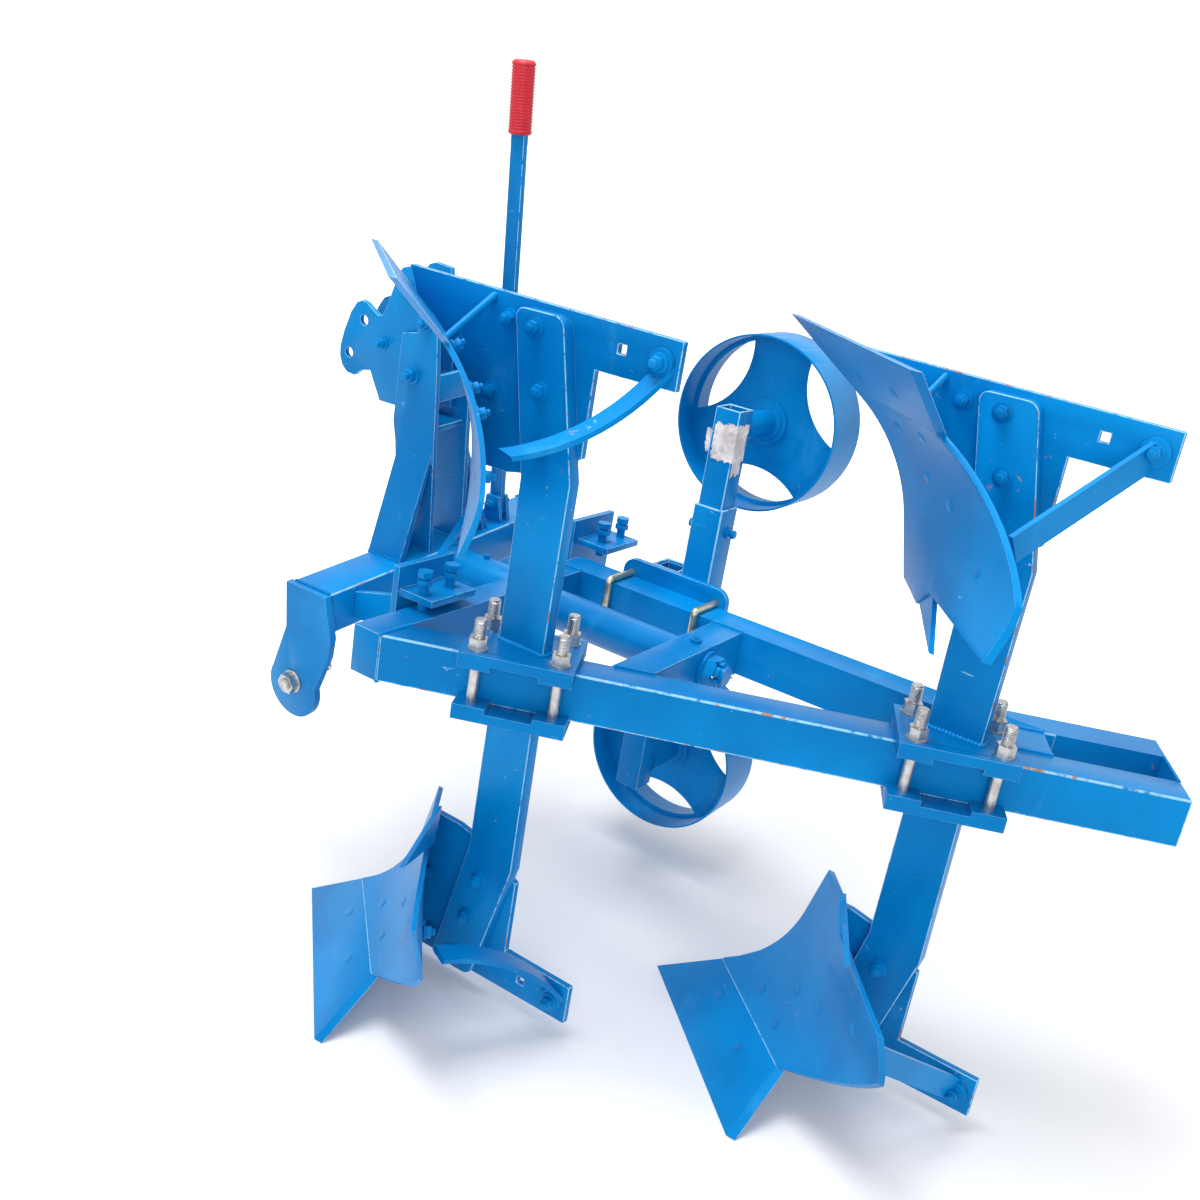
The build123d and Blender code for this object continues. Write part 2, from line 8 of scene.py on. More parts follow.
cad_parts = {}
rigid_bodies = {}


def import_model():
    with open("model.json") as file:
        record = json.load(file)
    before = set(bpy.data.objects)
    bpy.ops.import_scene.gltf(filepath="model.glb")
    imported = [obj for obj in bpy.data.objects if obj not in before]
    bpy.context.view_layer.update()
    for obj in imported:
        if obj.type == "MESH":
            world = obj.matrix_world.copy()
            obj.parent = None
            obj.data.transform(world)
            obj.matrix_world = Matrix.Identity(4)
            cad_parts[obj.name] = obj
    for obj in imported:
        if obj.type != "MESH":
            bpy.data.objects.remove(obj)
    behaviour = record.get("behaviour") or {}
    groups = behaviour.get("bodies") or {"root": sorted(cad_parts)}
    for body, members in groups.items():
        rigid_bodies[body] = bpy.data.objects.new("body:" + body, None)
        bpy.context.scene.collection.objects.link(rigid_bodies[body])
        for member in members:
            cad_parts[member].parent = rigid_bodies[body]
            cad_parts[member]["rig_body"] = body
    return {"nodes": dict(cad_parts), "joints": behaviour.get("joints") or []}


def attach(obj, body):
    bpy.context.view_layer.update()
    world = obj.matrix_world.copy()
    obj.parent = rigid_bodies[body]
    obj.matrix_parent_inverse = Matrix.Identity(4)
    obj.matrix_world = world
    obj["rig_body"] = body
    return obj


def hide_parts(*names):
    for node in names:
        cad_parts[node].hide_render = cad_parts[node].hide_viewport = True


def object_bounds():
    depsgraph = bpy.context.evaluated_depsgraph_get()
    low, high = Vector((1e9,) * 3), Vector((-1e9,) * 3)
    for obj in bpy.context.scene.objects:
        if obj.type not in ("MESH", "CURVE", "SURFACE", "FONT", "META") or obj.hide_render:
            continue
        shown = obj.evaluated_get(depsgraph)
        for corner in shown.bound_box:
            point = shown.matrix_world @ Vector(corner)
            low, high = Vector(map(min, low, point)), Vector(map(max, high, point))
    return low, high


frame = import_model()
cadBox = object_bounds()
print("frame loaded")

joints = {j["name"]: j for j in frame["joints"]}
shaftPlace = Vector(joints["turnover"]["pos_m"])


def fromShaft(x, y, z):
    # millimetres from the turnover shaft, y = 0 at the rear of the cross tube
    return shaftPlace + Vector((x, y, z)) / 1000


toPack = Matrix.Translation(shaftPlace) @ Matrix.Scale(0.001, 4)


class Socket:
    # one value in a material's tree, so that masks can be written as sums
    def __init__(self, tree, out):
        self.tree = tree
        self.out = out

    def math(self, operation, other=None, third=None):
        node = self.tree.nodes.new("ShaderNodeMath")
        node.operation = operation
        for place, value in enumerate((self, other, third)):
            if isinstance(value, Socket):
                self.tree.links.new(value.out, node.inputs[place])
            elif value is not None:
                node.inputs[place].default_value = value
        return Socket(self.tree, node.outputs[0])

    def __add__(self, other):
        return self.math("ADD", other)

    def __radd__(self, other):
        return self.math("ADD", other)

    def __sub__(self, other):
        return self.math("SUBTRACT", other)

    def __rsub__(self, other):
        return (self * -1) + other

    def __mul__(self, other):
        return self.math("MULTIPLY", other)

    def __rmul__(self, other):
        return self.math("MULTIPLY", other)

    def atLeast(self, other):
        return self.math("MAXIMUM", other)

    def clamped(self):
        return self.math("MAXIMUM", 0.0).math("MINIMUM", 1.0)


class Finish:
    # a material and its tree; add() makes any node from its settings and sockets
    def __init__(self, name):
        self.material = bpy.data.materials.new(name)
        self.material.use_nodes = True
        self.tree = self.material.node_tree
        self.shader = self.tree.nodes["Principled BSDF"]

    def add(self, kind, settings=None, values=None, out=0):
        node = self.tree.nodes.new(kind)
        for key, value in (settings or {}).items():
            setattr(node, key, value)
        for key, value in (values or {}).items():
            if isinstance(value, Socket):
                self.tree.links.new(value.out, node.inputs[key])
            else:
                node.inputs[key].default_value = value
        return Socket(self.tree, node.outputs[out])

    def place(self, scale=1.0, offset=(0, 0, 0)):
        coords = self.add("ShaderNodeTexCoord", out=3)
        size = scale if isinstance(scale, tuple) else (scale, scale, scale)
        return self.add("ShaderNodeMapping", values={0: coords, 1: offset, 3: size})

    def noise(self, scale, detail=4.0, rough=0.55, where=None, distortion=0.0):
        return self.add("ShaderNodeTexNoise",
                        values={"Vector": where or self.place(), "Scale": scale, "Detail": detail,
                                "Roughness": rough, "Distortion": distortion})

    def band(self, value, low, high):
        # smooth step of a value between two levels
        return self.add("ShaderNodeMapRange", {"interpolation_type": "SMOOTHSTEP", "clamp": True},
                        {"Value": value, "From Min": low, "From Max": high, "To Min": 0.0,
                         "To Max": 1.0})

    def mix(self, factor, first, second):
        node = self.tree.nodes.new("ShaderNodeMix")
        node.data_type = "RGBA"
        for place, value in ((0, factor), (6, first), (7, second)):
            if isinstance(value, Socket):
                self.tree.links.new(value.out, node.inputs[place])
            elif place == 0:
                node.inputs[0].default_value = value
            else:
                node.inputs[place].default_value = tuple(value) + (1,)
        return Socket(self.tree, node.outputs[2])

    def feed(self, name, value):
        if isinstance(value, Socket):
            self.tree.links.new(value.out, self.shader.inputs[name])
        else:
            self.shader.inputs[name].default_value = value

    def bump(self, height, strength, distance):
        normal = self.add("ShaderNodeBump", values={"Height": height, "Strength": strength,
                                                     "Distance": distance})
        self.feed("Normal", normal)


def linear(r, g, b):
    # display values from 0 to 255 as scene values
    return tuple(((c / 255 + 0.055) / 1.055) ** 2.4 if c > 10 else c / 255 / 12.92 for c in (r, g, b))


# the pale chip colour serves the scratches and the painted edge highlight
paintLook = {"blue": linear(0, 128, 196), "deep": linear(0, 110, 176), "pale": linear(60, 158, 212),
             "chipAndHighlight": linear(160, 212, 236), "rust": linear(150, 92, 48), "orange": linear(205, 140, 70)}


def bluePaint(name, seed=0.0, rustLevel=0.66, chips=1.0, edge=False):
    f = Finish(name)
    where = f.place(1.0, (seed, seed * 0.7, seed * 1.3))
    cloud = f.noise(4.0, 3.0, 0.5, where)
    grain = f.noise(90.0, 3.0, 0.6, where)
    colour = f.mix(f.band(cloud, 0.38, 0.66), paintLook["deep"], paintLook["blue"])
    rubbed = f.noise(10.0, 6.0, 0.65, f.place((1.0, 1.0, 0.4), (seed, 2.0, seed)))
    colour = f.mix(f.band(rubbed, 0.58, 0.74) * 0.35, colour, paintLook["pale"])
    patches = f.noise(6.0, 4.0, 0.6, where, 0.3)
    spots = f.noise(42.0, 8.0, 0.70, where, 0.6)
    rust = f.band(spots + patches * 0.35, rustLevel + 0.19, rustLevel + 0.24)
    scratch = f.noise(16.0, 8.0, 0.75, f.place((0.3, 1.0, 2.2), (seed + 4, 0, 1)), 1.6)
    pale = f.band(scratch, 0.655, 0.675) * 0.55 * chips
    if edge:
        # paint is thin here: long pale marks, partly chipped paint and partly a painted edge highlight, and
        # some rust
        wearAndHighlightNoise = f.noise(60.0, 6.0, 0.7, where)
        pale = (f.band(wearAndHighlightNoise, 0.34, 0.50) * 0.8).atLeast(pale)
        flakes = f.noise(26.0, 6.0, 0.68, where)
        rust = f.band(flakes + patches * 0.3, rustLevel + 0.05, rustLevel + 0.12)
    colour = f.mix(pale, colour, paintLook["chipAndHighlight"])
    colour = f.mix(rust, colour, f.mix(grain, paintLook["rust"], paintLook["orange"]))
    f.feed("Base Color", colour)
    f.feed("Roughness", (0.26 + grain * 0.10 + cloud * 0.08 + rust * 0.40 + pale * 0.15).clamped())
    f.shader.inputs["Specular IOR Level"].default_value = 0.5
    f.shader.inputs["Specular Tint"].default_value = (0.12, 0.55, 1.0, 1.0)
    f.bump(f.noise(140.0, 2.0, 0.5, where) * 0.5 + cloud * 0.8 - rust * 0.5, 0.22, 0.0006)
    return f.material


def zincPlate(name, warm):
    f = Finish(name)
    where = f.place()
    cloud = f.noise(60.0, 5.0, 0.6, where)
    brown = f.band(f.noise(110.0, 6.0, 0.7, where), 0.60, 0.76)
    colour = f.mix(f.band(cloud, 0.3, 0.7), warm["low"], warm["high"])
    colour = f.mix(brown * 0.5, colour, linear(150, 112, 78))
    f.feed("Base Color", colour)
    f.feed("Metallic", 0.92 - brown * 0.5)
    f.feed("Roughness", 0.26 + cloud * 0.16 + brown * 0.2)
    f.bump(cloud, 0.2, 0.0004)
    return f.material


def redGrip(name):
    f = Finish(name)
    cloud = f.noise(50.0, 4.0, 0.6)
    f.feed("Base Color", f.mix(cloud, linear(176, 12, 34), linear(222, 26, 48)))
    f.feed("Roughness", 0.42 + cloud * 0.12)
    f.bump(cloud, 0.2, 0.0005)
    return f.material


def tornPaper(name):
    f = Finish(name)
    fold = f.noise(30.0, 6.0, 0.65)
    stain = f.band(f.noise(55.0, 5.0, 0.6), 0.5, 0.7)
    colour = f.mix(f.band(fold, 0.35, 0.65), linear(196, 186, 184), linear(232, 226, 222))
    f.feed("Base Color", f.mix(stain * 0.4, colour, linear(160, 132, 118)))
    f.feed("Roughness", 0.85)
    f.bump(fold, 0.5, 0.002)
    return f.material


materials = {
    "frameBlue": bluePaint("frameBlue", 0.0, 0.67, 1.0),
    "bodyBlue": bluePaint("bodyBlue", 3.1, 0.67, 1.0),
    "hitchBlue": bluePaint("hitchBlue", 6.4, 0.68, 0.8),
    "wheelBlue": bluePaint("wheelBlue", 9.2, 0.69, 0.8),
    "boltBlue": bluePaint("boltBlue", 12.0, 0.66, 1.0),
    "weldBlue": bluePaint("weldBlue", 14.0, 0.64, 1.6),
    # the rounded edges' finish: wear and rust, with pale marks that are partly a painted highlight
    "edgeWearAndHighlight": bluePaint("edgeWearAndHighlight", 17.0, 0.66, 1.0, edge=True),
    "zincPlate": zincPlate("zincPlate", {"low": linear(172, 171, 170), "high": linear(208, 207, 205)}),
    "yellowZinc": zincPlate("yellowZinc", {"low": linear(196, 184, 150), "high": linear(226, 218, 190)}),
    "redGrip": redGrip("redGrip"),
    "tornPaper": tornPaper("tornPaper"),
}
print("finishes made")


# how a piece is made
def finished(name, bm, body, material, replaced=None, inPack=False, sharp=32):
    # millimetres from the shaft go to the pack's metres, then the mesh gets its body and finish
    if not inPack:
        bm.transform(toPack)
    bmesh.ops.remove_doubles(bm, verts=bm.verts, dist=1e-6)
    if not inPack:
        bmesh.ops.recalc_face_normals(bm, faces=bm.faces)
    mesh = bpy.data.meshes.new(name)
    bm.to_mesh(mesh)
    bm.free()
    mesh.shade_smooth()
    mesh.set_sharp_from_angle(angle=math.radians(sharp))
    for each in (material if isinstance(material, tuple) else (material,)):
        mesh.materials.append(materials[each])
    piece = bpy.data.objects.new(name, mesh)
    bpy.context.scene.collection.objects.link(piece)
    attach(piece, body)
    if replaced:
        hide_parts(replaced)
    return piece


def facing(origin, direction, turn=0.0):
    # local Z looks along direction
    spin = Vector(direction).to_track_quat("Z", "Y").to_matrix().to_4x4()
    return Matrix.Translation(Vector(origin)) @ spin @ Matrix.Rotation(turn, 4, "Z")


def rimEdges(verts, low=0.6):
    edges = {e for v in verts for e in v.link_edges}
    return [e for e in edges if len(e.link_faces) == 2 and e.calc_face_angle(0) > low]


def addRound(bm, place, radius, depth, sides=28, soft=0.0, start=0.0):
    made = bmesh.ops.create_cone(bm, cap_ends=True, segments=sides, radius1=radius, radius2=radius,
                                 depth=depth, matrix=place @ Matrix.Translation((0, 0, start + depth / 2)))
    if soft:
        bmesh.ops.bevel(bm, geom=rimEdges(made["verts"]), offset=soft, affect="EDGES", segments=2,
                        profile=0.5, material=-1)


def addNut(bm, place, across, height, start=0.0):
    addRound(bm, place, across / math.sqrt(3), height, 6, across * 0.045, start)


def addThread(bm, place, radius, pitch, turns, start=0.0, deep=0.9):
    # a three-sided ridge wound on the bolt
    points = [(radius - 0.6, 0, 0), (radius + deep, 0, pitch * 0.42), (radius - 0.6, 0, pitch * 0.84)]
    corners = [bm.verts.new(p) for p in points]
    sides = [bm.edges.new((corners[i - 1], corners[i])) for i in range(3)]
    steps = int(turns * 14)
    spun = bmesh.ops.spin(bm, geom=corners + sides, cent=(0, 0, 0), axis=(0, 0, 1), angle=math.tau * turns,
                          steps=steps, dvec=(0, 0, pitch * turns / steps), use_merge=False)
    ends = [g for g in spun["geom_last"] if isinstance(g, bmesh.types.BMEdge)]
    bmesh.ops.holes_fill(bm, edges=sides + ends, sides=3)
    ridge = set(corners)
    front = list(corners)
    while front:
        reached = front.pop()
        for e in reached.link_edges:
            other = e.other_vert(reached)
            if other not in ridge:
                ridge.add(other)
                front.append(other)
    bmesh.ops.transform(bm, matrix=place @ Matrix.Translation((0, 0, start)), verts=list(ridge))


def addWire(bm, points, radius, sides=8):
    # bent wire: a short round bar on each leg and a ball at each bend
    for a, b in zip(points, points[1:]):
        addRound(bm, facing(a, Vector(b) - Vector(a)), radius, (Vector(b) - Vector(a)).length, sides)
    for p in points:
        bmesh.ops.create_icosphere(bm, subdivisions=1, radius=radius * 1.02, matrix=Matrix.Translation(p))


def addRing(bm, place, radius, wire, sides=24):
    section = Matrix.Translation((radius, 0, 0)) @ Matrix.Rotation(math.pi / 2, 4, "X")
    circle = bmesh.ops.create_circle(bm, segments=8, radius=wire, matrix=section)
    edges = list({e for v in circle["verts"] for e in v.link_edges})
    before = set(bm.verts) - set(circle["verts"])
    bmesh.ops.spin(bm, geom=circle["verts"] + edges, cent=(0, 0, 0), axis=(0, 0, 1), angle=math.tau,
                   steps=sides, use_merge=True)
    bmesh.ops.transform(bm, matrix=place, verts=[v for v in bm.verts if v not in before])


# the frame's main sizes, as in the part's source
beamLeft = -430.0
beamAngle = math.radians(26.4)
beamWidth = 65.0
tubeHalf = 40.0
bodyStep = (-300.0, 604.0)
headRoll = math.radians(6.2)
rollUp = Matrix.Rotation(-headRoll, 4, "Y")


def onHitch(x, y, z):
    # a point of the headstock as it stands rolled about the shaft
    return rollUp @ Vector((x, y, z))


def hitchWay(x, y, z):
    return rollUp.to_3x3() @ Vector((x, y, z))


bodySteps = {"rearLower": ("rear_lower", 0, 0, -1), "rearUpper": ("rear_upper", 0, 0, 1),
             "frontLower": ("front_lower", *bodyStep, -1), "frontUpper": ("front_upper", *bodyStep, 1)}


def onBeam(along, across, z):
    # a point measured along the oblique beam from its front left corner
    return (beamLeft + math.sin(beamAngle) * along + math.cos(beamAngle) * across,
            -math.cos(beamAngle) * along + math.sin(beamAngle) * across, z)


def onBody(key, x, y, height):
    # height is measured from the beam's middle towards the share
    name, dx, dy, sign = bodySteps[key]
    return Vector((x + dx, y + dy, sign * height))


def surfaceOf(node):
    mesh = frame["nodes"][node].data
    return BVHTree.FromPolygons([v.co for v in mesh.vertices], [p.vertices for p in mesh.polygons])


# solids with their edges rounded and worn, the pale marks on the edges partly a painted highlight
edgeLook = {"plate": 1.3, "tube": 3.0, "sheet": 1.1, "fine": 0.6}
legEnd = {"height": 568.0, "corner": 16.0}
wheelTurn = math.radians(-20)
plateNodes = {
    "tube": ["oblique_beam", "cross_tube", "far_beam", "middle_strut", "hitch_beam",
             "gauge_sleeves", "gauge_stem_upper", "gauge_stem_lower"],
    "plate": ["clamp_plates", "gauge_plate", "stop_plates", "drop_plates", "mast_plates", "link_brackets",
              "mast_webs", "lever_bracket", "lever_bar"]
             + [kind + step[0] for kind in ("leg_", "landside_") for step in bodySteps.values()],
    "sheet": [kind + step[0] for kind in ("mouldboard_", "share_") for step in bodySteps.values()],
    "fine": ["wheel_upper", "wheel_lower", "shaft_nut", "shaft_housing"],
}
bodyWords = ("leg_", "landside_", "mouldboard_", "share_")
hitchWords = ("hitch_", "drop_", "mast_", "link_", "lever_", "stop_", "shaft_housing")


def finishFor(node):
    if node in ("clamp_studs", "hitch_pins"):
        return "zincPlate"
    if node == "gauge_u_bolts":
        return "yellowZinc"
    if node.startswith("wheel_"):
        return "wheelBlue"
    if node.startswith(bodyWords):
        return "bodyBlue"
    if node.startswith(hitchWords):
        return "hitchBlue"
    return "frameBlue"


squareHole = {"y": (-879.0, -865.0), "height": (534.0, 548.0)}


def cutSquare(bm, key):
    # the spare square hole behind each leg: four cuts, then its two faces go and the walls close
    a, b = onBody(key, 0, squareHole["y"][0], squareHole["height"][0]), \
        onBody(key, 0, squareHole["y"][1], squareHole["height"][1])
    low = toPack @ Vector([min(p, q) for p, q in zip(a, b)])
    high = toPack @ Vector([max(p, q) for p, q in zip(a, b)])
    for axis in (1, 2):
        way = Vector((0, 1, 0)) if axis == 1 else Vector((0, 0, 1))
        for corner in (low, high):
            bmesh.ops.bisect_plane(bm, geom=bm.verts[:] + bm.edges[:] + bm.faces[:], plane_co=corner,
                                   plane_no=way, dist=1e-7)
    inside = []
    for face in bm.faces:
        middle = face.calc_center_median()
        if abs(face.normal.x) > 0.9 and low.y < middle.y < high.y and low.z < middle.z < high.z:
            inside.append(face)
    bmesh.ops.delete(bm, geom=inside, context="FACES")
    openEdges = [e for e in bm.edges if len(e.link_faces) == 1]
    bmesh.ops.bridge_loops(bm, edges=openEdges)


def roundLegEnd(bm, key):
    # the leg stops short of the share and its corners are rounded
    sign = bodySteps[key][3]
    level = toPack @ onBody(key, 0, 0, legEnd["height"])
    cut = bmesh.ops.bisect_plane(bm, geom=bm.verts[:] + bm.edges[:] + bm.faces[:], plane_co=level,
                                 plane_no=(0, 0, sign), clear_outer=True)
    rim = [g for g in cut["geom_cut"] if isinstance(g, bmesh.types.BMEdge)]
    bmesh.ops.holes_fill(bm, edges=rim)
    corners = [e for e in rim if abs((e.verts[1].co - e.verts[0].co).normalized().x) > 0.9]
    bmesh.ops.bevel(bm, geom=corners, offset=legEnd["corner"] / 1000, affect="EDGES", segments=6,
                    profile=0.5, material=-1)


def roundedCopy(node, kind):
    source = frame["nodes"][node]
    bm = bmesh.new()
    bm.from_mesh(source.data)
    bmesh.ops.remove_doubles(bm, verts=bm.verts, dist=1e-6)
    bmesh.ops.dissolve_limit(bm, angle_limit=math.radians(0.6), verts=bm.verts, edges=bm.edges)
    if node.startswith("landside_"):
        cutSquare(bm, next(k for k, step in bodySteps.items() if node.endswith(step[0])))
    if node.startswith("leg_"):
        roundLegEnd(bm, next(k for k, step in bodySteps.items() if node.endswith(step[0])))
    if node.startswith("wheel_"):
        # the free wheel stands turned as in the picture
        hub = Vector(joints["gauge_" + node + "_spin"]["pos_m"])
        bmesh.ops.rotate(bm, verts=bm.verts, cent=hub, matrix=Matrix.Rotation(wheelTurn, 3, "X"))
    if node.startswith(("leg_", "landside_")):
        bmesh.ops.recalc_face_normals(bm, faces=bm.faces)
    # corners where a solid meets itself in one edge stay as they are
    pinched = {v for e in bm.edges if len(e.link_faces) != 2 for v in e.verts}
    sharp = [e for e in bm.edges if len(e.link_faces) == 2 and e.calc_face_angle(0) > 0.6
             and not pinched.intersection(e.verts)]
    bmesh.ops.bevel(bm, geom=sharp, offset=edgeLook[kind] / 1000, affect="EDGES", segments=2, profile=0.5,
                    material=1, clamp_overlap=True, loop_slide=True)
    body = source["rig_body"]
    # the rounded edges take the pale edge finish, partly wear and partly a painted highlight
    edge = "edgeWearAndHighlight" if kind != "fine" else finishFor(node)
    finished(node + "Rounded", bm, body, (finishFor(node), edge), node, inPack=True, sharp=28)


for kind, names in plateNodes.items():
    for node in names:
        roundedCopy(node, kind)
for node, solid in frame["nodes"].items():
    solid.data.materials.clear()
    solid.data.materials.append(materials["redGrip" if node == "lever_grip" else finishFor(node)])
print("solids finished")


# clamp studs
studLook = {"radius": 8.5, "pitch": 3.3, "from": 76.5, "to": 104.5, "deep": 1.5,
            "rearClamp": 899.0, "along": 65.0, "across": 47.0}


def makeStudThreads():
    bm = bmesh.new()
    look = studLook
    turns = int((look["to"] - look["from"]) / look["pitch"])
    for centre in (look["rearClamp"] - math.hypot(*bodyStep), look["rearClamp"]):
        for along in (-look["along"], look["along"]):
            for across in (-look["across"], look["across"]):
                foot = onBeam(centre + along, beamWidth / 2 + across, look["from"])
                addThread(bm, facing(foot, (0, 0, 1)), look["radius"], look["pitch"], turns,
                          deep=look["deep"])
    finished("studThreads", bm, "plough_frame", "zincPlate")


makeStudThreads()


# bolts of the four plough bodies
legBolts = {"leg": [(-735, 544), (-759, 456), (-775, 376)], "plate": [(-668, 543), (-650, 430)],
            "heel": [(-941, 538)], "across": 19.0, "washer": 15.0}
boardBolts = [(-51, -604, 493), (-113, -663, 499), (-128, -729, 422), (-79, -674, 441), (-205, -811, 367)]
shareBolts = [(-54, -533, 546), (-143, -621, 553)]


def addNutAndTail(bm, origin, way, across, washer, tail=9.0, turn=0.3):
    place = facing(origin, way, turn)
    addRound(bm, place, washer, 2.4, 26, 0.4)
    addNut(bm, place, across, across * 0.55, 2.4)
    addRound(bm, place, across * 0.31, across * 0.55 + tail, 18, 0.8, 2.4)
    addThread(bm, place, across * 0.31, 1.8, max(1, int((tail - 1.5) / 1.8)), 2.4 + across * 0.55)


def makeBodyBolts():
    bm = bmesh.new()
    left = (-1, 0, 0)
    for key in bodySteps:
        for number, (y, height) in enumerate(legBolts["leg"]):
            addNutAndTail(bm, onBody(key, -12.5, y, height), left, legBolts["across"], legBolts["washer"],
                          7.0, 0.3 + number)
        for number, (y, height) in enumerate(legBolts["plate"]):
            addNutAndTail(bm, onBody(key, 12.5, y, height), left, legBolts["across"], legBolts["washer"],
                          7.0, 0.8 + number)
        for y, height in legBolts["heel"]:
            addNutAndTail(bm, onBody(key, 3.5, y, height), left, legBolts["across"],
                          legBolts["washer"], 8.0)
        for y, height in legBolts["leg"] + legBolts["plate"] + legBolts["heel"]:
            # low round head on the furrow wall side; its driving square is not drawn
            place = facing(onBody(key, 24.5, y, height), (1, 0, 0))
            addRound(bm, place, 12.5, 2.6, 28, 1.1)
    finished("bodyBolts", bm, "plough_frame", "boltBlue")


def makePloughBolts():
    # flush heads on the working face; the mouldboard bolts also get a nut behind the sheet
    bm = bmesh.new()
    sheet = 9.5
    for key, (name, dx, dy, sign) in bodySteps.items():
        for node, points in (("mouldboard_", boardBolts), ("share_", shareBolts)):
            surface = surfaceOf(node + name)
            for x, y, height in points:
                spot, normal = surface.find_nearest(toPack @ onBody(key, x, y, height))[:2]
                spot = (spot - shaftPlace) * 1000
                addRound(bm, facing(spot - normal * 1.5, normal), 9.5, 2.1, 24, 0.6)
                if node == "mouldboard_":
                    addNutAndTail(bm, spot - normal * sheet, -normal, 17.0, 12.0, 6.0)
    finished("ploughBolts", bm, "plough_frame", "boltBlue")


makeBodyBolts()
makePloughBolts()
print("body bolts made")


# rods between landside and mouldboard
stayLook = {"from": (12.0, -634.0, 570.0), "to": (-62.0, -612.0, 505.0), "radius": 6.0}


def makeStayRods():
    bm = bmesh.new()
    for key, (name, dx, dy, sign) in bodySteps.items():
        surface = surfaceOf("mouldboard_" + name)
        start = onBody(key, *stayLook["from"])
        target, normal = surface.find_nearest(toPack @ onBody(key, *stayLook["to"]))[:2]
        end = (target - shaftPlace) * 1000 - normal * 2
        addWire(bm, [start, end], stayLook["radius"], 12)
    finished("stayRods", bm, "plough_frame", "bodyBlue")


# eyes at the heel ends of the braces
eyeLook = {"radius": 21.0, "thick": 8.0}


def makeBraceEyes():
    bm = bmesh.new()
    for key in bodySteps:
        place = facing(onBody(key, 12.3, -941, 538), (-1, 0, 0))
        addRound(bm, place, eyeLook["radius"], eyeLook["thick"] + 0.8, 32, 1.0)
    finished("braceEyes", bm, "plough_frame", "bodyBlue")


makeStayRods()
makeBraceEyes()
print("braces finished")


# weld beads
weldLook = {"step": 5.5, "size": 4.4}


def addBead(bm, points, size=None):
    size = size or weldLook["size"]
    count = 0
    for a, b in zip(points, points[1:]):
        a, b = Vector(a), Vector(b)
        steps = max(1, int((b - a).length / weldLook["step"]))
        for step in range(steps):
            count += 1
            wobble = noise.noise(Vector((a.x + step * 3.7, a.y * 0.3, a.z * 0.7 + count)))
            spot = a.lerp(b, (step + 0.5) / steps)
            scale = size * (1 + 0.22 * wobble)
            bmesh.ops.create_icosphere(bm, subdivisions=1, radius=scale, matrix=Matrix.Translation(spot))


def ringPoints(centre, radius, count=28):
    return [Vector(centre) + Vector((math.cos(math.tau * i / count) * radius, 0,
                                     math.sin(math.tau * i / count) * radius)) for i in range(count + 1)]


def makeFrameWelds():
    bm = bmesh.new()
    for z in (-tubeHalf, tubeHalf):
        addBead(bm, [(beamLeft, 0, z), (-358, 0, z)])
        addBead(bm, [onBeam(366, beamWidth, z), onBeam(432, beamWidth, z)])
        addBead(bm, [(116, -295, z), (116, -355, z)])
        addBead(bm, [(116, 0, z), (116, 50, z)])
        addBead(bm, [onBeam(1001, beamWidth, z), onBeam(1056, beamWidth, z)])
        addBead(bm, [onBeam(1001, 150, z), onBeam(1056, 150, z)])
        addBead(bm, [onBeam(1246, beamWidth, z), onBeam(1246, 150, z)], 3.4)
    addBead(bm, [(-358, 0, -38), (-358, 0, 38)])
    addBead(bm, ringPoints((0, -1, 0), 36))
    addBead(bm, ringPoints((0, -294, 0), 36))
    for key in bodySteps:
        corners = [(-12.5, -834), (12.5, -834), (12.5, -747), (-12.5, -747), (-12.5, -834)]
        addBead(bm, [onBody(key, x, y, 57) for x, y in corners], 5.2)
    for y in (-199, -132):
        for edge in (-30, 30):
            addBead(bm, [(197, y + edge, -70), (197, y + edge, 70)], 4.0)
    finished("frameWelds", bm, "plough_frame", "weldBlue")


def makeHitchWelds():
    bm = bmesh.new()
    addBead(bm, ringPoints((0, 225, 0), 43))
    for side in (-1, 1):
        for x in (side * 40, side * 50):
            addBead(bm, [onHitch(x, 238, 38), onHitch(x, 320, 38)])
        addBead(bm, [onHitch(side * 125, 240, 38), onHitch(side * 125, 320, 38)])
        addBead(bm, [onHitch(side * 311, 228, 38), onHitch(side * 311, 314, 38)])
        addBead(bm, [onHitch(side * 311, 226, 36), onHitch(side * 311, 226, -36)])
        low, high = (-30, 8) if side < 0 else (4, 44)
        addBead(bm, [(side * 259, 225, low), (side * 259, 225, high)])
        addBead(bm, [onHitch(side * 41, 272, 302), onHitch(side * 41, 272, 440)], 3.6)
    finished("hitchWelds", bm, "headstock", "weldBlue")


makeFrameWelds()
makeHitchWelds()
print("welds made")


# stop screws
stopLook = {"x": (228, 294), "y": 36, "plateTop": 68.0, "across": 24.0, "nut": 10.0}


def makeStopNuts():
    bm = bmesh.new()
    for side in (-1, 1):
        for x in stopLook["x"]:
            place = facing((side * x, stopLook["y"], stopLook["plateTop"]), (0, 0, 1), 0.4)
            addThread(bm, place, 8.0, 2.2, 12, 1.0)
            addNut(bm, place, stopLook["across"], stopLook["nut"], 16.0)
    finished("stopNuts", bm, "headstock", "boltBlue")


makeStopNuts()


# gauge wheel stand: set screws, paper, plugs and hub rings
setScrews = [((226, -169, 168), (0, 1, 0)), ((232, -229, 168), (0, -1, 0)),
             ((226, -102, -168), (0, 1, 0)), ((226, -162, -168), (0, -1, 0))]
setScrewLook = {"boss": (11.0, 5.0), "shank": (5.5, 14.0), "across": 15.0, "nut": 7.0, "nutFrom": 10.0}


